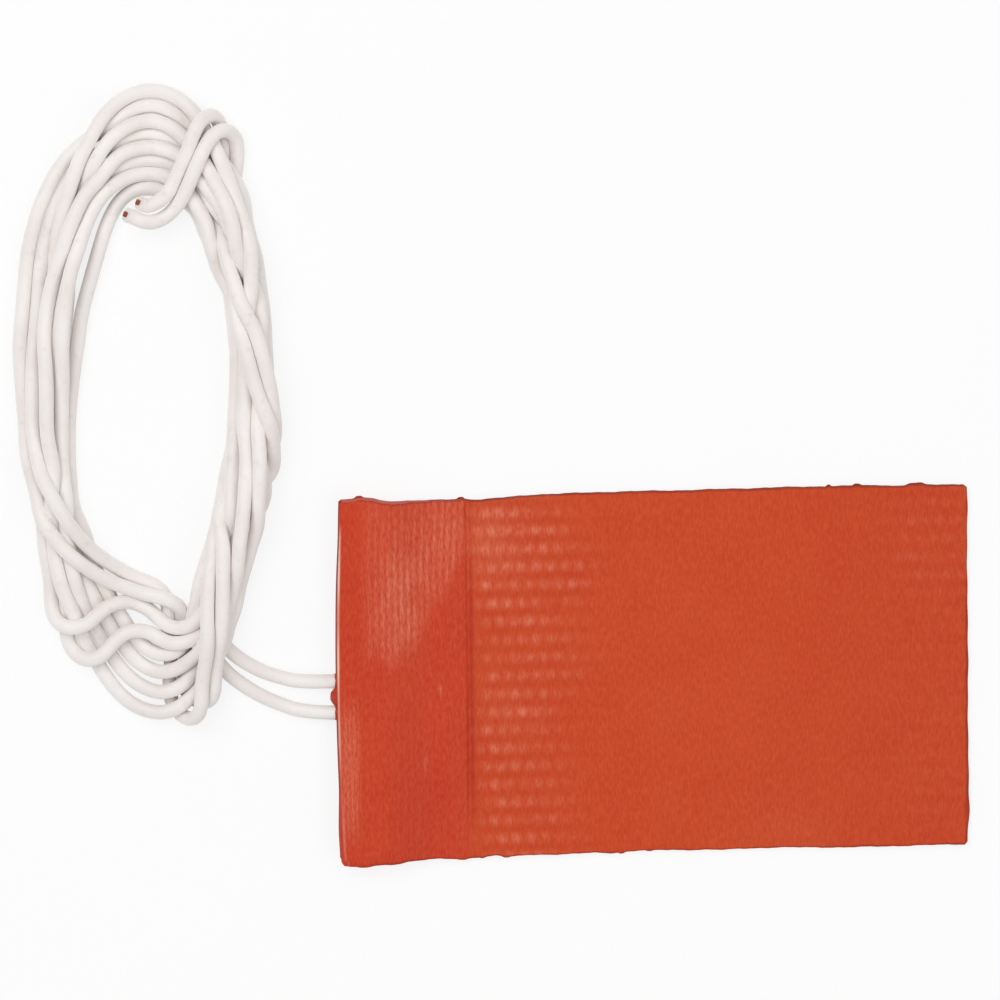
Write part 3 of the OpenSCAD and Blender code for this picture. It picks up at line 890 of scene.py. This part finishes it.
parts = []
for place, size in BEAD_BALLS:
    bpy.ops.object.select_all(action="DESELECT")
    bpy.ops.mesh.primitive_uv_sphere_add(segments=32, ring_count=20, radius=size * MM,
                                         location=np.array(place) * MM)
    parts.append(bpy.context.object)
for y in EXIT_Y:
    bpy.ops.mesh.primitive_cone_add(
        vertices=40, radius1=SLEEVE_WIDE * MM, radius2=SLEEVE_NARROW * MM, depth=SLEEVE * MM,
        rotation=(0, -math.pi / 2, 0), location=((LEAD_END + 0.3) * MM, y * MM, LEAD_AXIS * MM))
    parts.append(bpy.context.object)
bead = joined(parts)
bead.name = "sealant_bead"
settle_transform(bead)
for kind, settings in (("REMESH", {"mode": "VOXEL", "voxel_size": 0.11 * MM}),
                       ("SMOOTH", {"factor": 0.6, "iterations": 8})):
    modifier = bead.modifiers.new(kind.lower(), kind)
    for key, value in settings.items():
        setattr(modifier, key, value)
    bpy.ops.object.modifier_apply(modifier=modifier.name)
co = points_of(bead) / MM
lump = 0.10 * np.sin(co[:, 1] * 2.3 + 1) * np.sin(co[:, 2] * 2.9)
lump = lump + 0.05 * np.sin(co[:, 1] * 6.1 + co[:, 2] * 4)
co[:, 0] -= lump * ease((LEAD_END + 0.6 - co[:, 0]) / 1.5)
set_points(bead, co * MM)
print("sealant bead:", len(bead.data.polygons), "faces")

# %% [markdown]
# Every finish is a Principled shader fed by noise in object space, so it needs no
# picture and looks the same from any side. A few helpers keep the node trees readable.


# %% Material helpers
def finish(name, roughness, metallic=0.0, specular=0.5):
    mat = bpy.data.materials.new(name)
    mat.use_nodes = True
    shader = mat.node_tree.nodes["Principled BSDF"]
    shader.inputs["Roughness"].default_value = roughness
    shader.inputs["Metallic"].default_value = metallic
    shader.inputs["Specular IOR Level"].default_value = specular
    return mat, mat.node_tree, shader


def noise(tree, size_mm, detail=2.0, stretch=(1, 1, 1)):
    """Noise whose features are about size_mm across, drawn out along an axis by stretch."""
    where = tree.nodes.new("ShaderNodeTexCoord")
    shape = tree.nodes.new("ShaderNodeMapping")
    shape.inputs["Scale"].default_value = [1 / s for s in stretch]
    tex = tree.nodes.new("ShaderNodeTexNoise")
    tex.inputs["Scale"].default_value = 1 / (size_mm * MM)
    tex.inputs["Detail"].default_value = detail
    tree.links.new(where.outputs["Object"], shape.inputs["Vector"])
    tree.links.new(shape.outputs["Vector"], tex.inputs["Vector"])
    return tex.outputs["Fac"]


def spread(tree, value, low, high, to_low=0.0, to_high=1.0):
    """Stretch the part of a noise from low to high over a new range."""
    node = tree.nodes.new("ShaderNodeMapRange")
    node.inputs["From Min"].default_value = low
    node.inputs["From Max"].default_value = high
    node.inputs["To Min"].default_value = to_low
    node.inputs["To Max"].default_value = to_high
    tree.links.new(value, node.inputs["Value"])
    return node.outputs["Result"]


def combined(tree, operation, first, second):
    """One value from two, for instance their product."""
    node = tree.nodes.new("ShaderNodeMath")
    node.operation = operation
    tree.links.new(first, node.inputs[0])
    tree.links.new(second, node.inputs[1])
    return node.outputs[0]


def attribute(tree, name):
    node = tree.nodes.new("ShaderNodeAttribute")
    node.attribute_name = name
    return node.outputs["Fac"]


def blend(tree, amount, first, second):
    """Mix two colours. Each is a colour or a socket."""
    node = tree.nodes.new("ShaderNodeMix")
    node.data_type = "RGBA"
    tree.links.new(amount, node.inputs["Factor"])
    for socket, value in ((node.inputs[6], first), (node.inputs[7], second)):
        if isinstance(value, tuple):
            socket.default_value = (*value, 1)
        else:
            tree.links.new(value, socket)
    return node.outputs[2]


def bump(tree, shader, height, depth_mm, strength=1.0):
    node = tree.nodes.new("ShaderNodeBump")
    node.inputs["Distance"].default_value = depth_mm * MM
    node.inputs["Strength"].default_value = strength
    tree.links.new(height, node.inputs["Height"])
    tree.links.new(node.outputs["Normal"], shader.inputs["Normal"])


def srgb(*rgb):
    """Linear colour from the usual 0 to 255 numbers."""
    return tuple((c / 255 / 12.92) if c <= 10 else ((c / 255 + 0.055) / 1.055) ** 2.4 for c in rgb)


# %% [markdown]
# The red rubber is matt, with a fine upright grain from the calender and slow changes of colour.
# On top of these lie the four marks that the sheets carry: the painted highlight is paler, the
# painted shade is a deeper red, the painted edge shade darkens the trimmed edges, and cut shows
# the pale cloth. Cut faces get a darker brownish copy of the rubber, which paints them as shaded.

# %% Rubber
GRAIN_LIGHT, SPECK_DARK = srgb(214, 93, 52), srgb(168, 40, 12)
# Next: the pale of the painted highlight and the red of the painted shade, then the brown of the painted edge
# shade and the pale of the cloth.
HIGHLIGHT_PALE, SHADE_DEEP = srgb(226, 136, 108), srgb(158, 10, 4)
EDGE_SHADE_BROWN, CLOTH_PALE = srgb(120, 26, 10), srgb(240, 205, 190)


def rubber(name, colour, second, roughness=0.5):
    mat, tree, shader = finish(name, roughness, specular=0.18)
    slow = spread(tree, noise(tree, 14, 3), 0.35, 0.65)
    grain = spread(tree, noise(tree, 0.32, 3, (1, 4.5, 1)), 0.36, 0.64)
    speck = spread(tree, noise(tree, 0.8, 3, (1, 1.6, 1)), 0.42, 0.62)
    grainy = spread(tree, grain, 0, 1, 0.45, 1.35)
    # The painted highlight, broken up by the grain; then the painted shade and the painted edge shade.
    highlight_share = combined(tree, "MULTIPLY", attribute(tree, "painted_highlight"), grainy)
    shade_and_tint, edge_shade = attribute(tree, "shade_and_tint"), attribute(tree, "edge_shade")
    tone = blend(tree, slow, colour, second)
    for amount, least, most, coat in (
            (grain, 0, 0.36, GRAIN_LIGHT), (speck, 0.16, 0, SPECK_DARK), (highlight_share, 0, 0.60, HIGHLIGHT_PALE),
            (shade_and_tint, 0, 0.70, SHADE_DEEP), (edge_shade, 0, 0.70, EDGE_SHADE_BROWN)):
        tone = blend(tree, spread(tree, amount, 0, 1, least, most), tone, coat)
    tone = blend(tree, attribute(tree, "cut"), tone, CLOTH_PALE)
    tree.links.new(tone, shader.inputs["Base Color"])
    gloss = spread(tree, slow, 0, 1, roughness - 0.05, roughness + 0.08)
    tree.links.new(gloss, shader.inputs["Roughness"])
    bump(tree, shader, grain, 0.02, 0.6)
    return mat


sheet_rubber = rubber("sheet_rubber", srgb(197, 63, 23), srgb(200, 70, 31))
cap_rubber = rubber("cap_rubber", srgb(192, 48, 21), srgb(198, 58, 27), 0.46)
# Cut faces get a darker copy of the rubber, which paints them as shaded.
shaded_edge_rubber = rubber("shaded_cut_edge", srgb(120, 36, 22), srgb(96, 30, 18), 0.65)
bead_rubber = rubber("sealant", srgb(168, 50, 34), srgb(186, 62, 42), 0.38)


def dress(obj, face, edge=None, ends_only=False):
    """Give a piece its finish and its cut faces a darker one that paints them shaded, on all sides or at the
    lead end.
    """
    obj.data.materials.clear()
    obj.data.materials.append(face)
    if edge:
        obj.data.materials.append(edge)
        normals = of_faces(obj, "normal")
        upright = np.abs(normals[:, 2]) < 0.35
        if ends_only:
            upright &= normals[:, 0] < -0.7
        obj.data.polygons.foreach_set("material_index", upright.astype(int))
    only(obj)
    bpy.ops.object.shade_smooth_by_angle(angle=math.radians(40))


dress(cover, sheet_rubber, shaded_edge_rubber)
dress(back, sheet_rubber, shaded_edge_rubber)
dress(core, cap_rubber, shaded_edge_rubber, ends_only=True)
dress(cap, cap_rubber, shaded_edge_rubber, ends_only=True)
dress(bead, bead_rubber)
print("rubber finishes:", [m.name for m in (sheet_rubber, cap_rubber, shaded_edge_rubber, bead_rubber)])

# %% [markdown]
# The leads have a soft white jacket that is a little dirty from handling. The grime is in faint
# patches, and the surface has the fine dimples of extruded silicone. Such a jacket is dusted
# with talc, which lightens its sides. Sheen does that, where a gloss would make it look wet.

# %% White jacket
white_jacket, tree, shader = finish("white_jacket", 0.5, specular=0.4)
slow = spread(tree, noise(tree, 9, 3), 0.38, 0.66)
dirt = spread(tree, noise(tree, 2.2, 4), 0.60, 0.74)
tone = blend(tree, slow, srgb(241, 236, 233), srgb(234, 226, 222))
tone = blend(tree, spread(tree, dirt, 0, 1, 0, 0.30), tone, srgb(204, 192, 184))
tree.links.new(tone, shader.inputs["Base Color"])
bump(tree, shader, noise(tree, 0.35, 2), 0.02, 0.4)
shader.inputs["Sheen Weight"].default_value = 0.85
shader.inputs["Sheen Roughness"].default_value = 0.7
shader.inputs["Sheen Tint"].default_value = (1, 0.97, 0.94, 1)
for obj in leads:
    obj.data.materials.append(white_jacket)
print("jackets:", [obj.name for obj in leads])

# %% [markdown]
# The strands and conductors are copper that has dulled a little, the terminals are tin
# plated, and the foil is a bright nickel alloy. Most of this is inside the rubber, but the part
# may be shown cut open, so every CAD node gets its finish too.

# %% Metals, and the finish of every node
def metal(name, colour, second, roughness, size_mm, stretch=(1, 1, 1)):
    mat, tree, shader = finish(name, roughness, metallic=1.0)
    patch = spread(tree, noise(tree, size_mm, 3, stretch), 0.35, 0.65)
    tree.links.new(blend(tree, patch, colour, second), shader.inputs["Base Color"])
    gloss = spread(tree, patch, 0, 1, roughness - 0.08, roughness + 0.1)
    tree.links.new(gloss, shader.inputs["Roughness"])
    bump(tree, shader, patch, 0.01, 0.5)
    return mat


copper = metal("copper_strand", srgb(182, 110, 84), srgb(140, 80, 58), 0.36, 0.4, (4, 1, 1))
tin = metal("tinned_terminal", srgb(206, 204, 198), srgb(178, 176, 170), 0.34, 0.8)
foil = metal("etched_foil", srgb(190, 186, 178), srgb(168, 162, 152), 0.3, 0.7, (6, 1, 1))
for tip in tips:
    dress(tip, copper)
NODE_FINISH = (
    (foil, "heating_element"), (tin, "terminal_1", "terminal_2"),
    (copper, "core_1", "core_2", "lead_tip_1", "lead_tip_2"), (bead_rubber, "exit_sealant"),
    (cap_rubber, "terminal_filler", "end_cap"), (sheet_rubber, "base_sheet", "cover_sheet"),
    (white_jacket, "lead_1", "lead_2", "lead_coil"),
)
for mat, *nodes in NODE_FINISH:
    for node in nodes:
        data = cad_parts[node].data
        data.materials.clear()
        data.materials.append(mat)
    print(mat.name, "goes on", nodes)

# %% [markdown]
# A plain pale table that keeps the shadow of the object. Most of what the camera gets from it is
# a glow, so it stays white wherever the lamps are. The rest is matt paint, which takes the shadow.

# %% Table
TABLE_SIZE, TABLE_GLOW = 6, 0.80


def seen_rays(tree):
    """1 for rays from the camera and for mirrored and refracted ones, or 0."""
    rays = tree.nodes.new("ShaderNodeLightPath").outputs
    first = combined(tree, "MAXIMUM", rays["Is Camera Ray"], rays["Is Glossy Ray"])
    return combined(tree, "MAXIMUM", first, rays["Is Transmission Ray"])


def shared(tree, amount, first, second, output):
    """Send a mix of two shaders to the output."""
    share = tree.nodes.new("ShaderNodeMixShader")
    tree.links.new(amount, share.inputs["Fac"])
    tree.links.new(first.outputs[0], share.inputs[1])
    tree.links.new(second.outputs[0], share.inputs[2])
    tree.links.new(share.outputs[0], tree.nodes[output].inputs["Surface"])


bpy.ops.object.select_all(action="DESELECT")
bpy.ops.mesh.primitive_plane_add(size=TABLE_SIZE, location=(0, 0, 0))
table = bpy.context.object
table.name = "table"
mat, tree, shader = finish("pale_table", 0.6, specular=0.2)
tone = blend(tree, noise(tree, 40, 2), srgb(247, 247, 247), srgb(244, 244, 244))
tree.links.new(tone, shader.inputs["Base Color"])
glow = tree.nodes.new("ShaderNodeEmission")
shared(tree, spread(tree, seen_rays(tree), 0, 1, 0, TABLE_GLOW), shader, glow, "Material Output")
table.data.materials.append(mat)
table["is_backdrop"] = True
print("table:", TABLE_SIZE, "m square")

# %% [markdown]
# The light is that of a packshot: an even bright room, a large lamp from the upper left for the
# soft shadows, and a weaker one across from it. What the camera and shiny surfaces see of the
# room is paler than what lights the object, so that the relief isn't washed out.

# %% Light
ROOM_LIGHT = 0.48

world = bpy.data.worlds.new("studio")
bpy.context.scene.world = world
world.use_nodes = True
tree = world.node_tree
room = tree.nodes["Background"]
room.inputs["Color"].default_value = (1, 1, 1, 1)
room.inputs["Strength"].default_value = ROOM_LIGHT
pale_room = tree.nodes.new("ShaderNodeBackground")
shared(tree, seen_rays(tree), room, pale_room, "World Output")

LAMPS = (
    ("key", (-0.55, 0.65, 1.15), 0.9, 9.5),
    ("fill", (0.75, -0.45, 1.3), 1.2, 5.5),
)
for name, place, size, power in LAMPS:
    way = AIM - np.array(place)
    tilt = math.atan2(math.hypot(way[0], way[1]), -way[2])
    turn = math.atan2(way[1], way[0]) - math.pi / 2
    bpy.ops.object.light_add(type="AREA", location=place, rotation=(tilt, 0, turn))
    lamp = bpy.context.object
    lamp.name = name
    lamp.data.size = size
    lamp.data.energy = power
bpy.context.scene.view_settings.view_transform = "Standard"
print("lamps:", [name for name, *_ in LAMPS])

# %% [markdown]
# Last, each piece rides on the root body, and the CAD nodes that it stands for are hidden. The
# table gives each piece, the CAD nodes it stands for and a finish.

# %% Riding and replacing
STANDS_FOR = (
    (leads[0], ("lead_1", "lead_coil"), "lead_jacket"),
    (leads[1], ("lead_2", "lead_coil"), "lead_jacket"),
    (tips[0], ("lead_tip_1",), "conductor"),
    (tips[1], ("lead_tip_2",), "conductor"),
    (cover, ("cover_sheet",), "rubber_sheet"),
    (back, ("base_sheet",), "rubber_sheet"),
    (core, ("terminal_filler",), "rubber_filler"),
    (cap, ("end_cap",), "rubber_cap"),
    (bead, ("exit_sealant",), "sealant"),
)
for piece, nodes, slot in STANDS_FOR:
    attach(piece, "root")
    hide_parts(*nodes)
print("pieces:", [piece.name for piece, *_ in STANDS_FOR])

# %% [markdown]
# The two boxes, of the CAD model and of everything that is visible, are printed.

# %% Sizes
size = {"cad": [list(map(float, p)) for p in cad_box], "visual": [list(map(float, p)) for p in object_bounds()]}
print("sizes:", size)
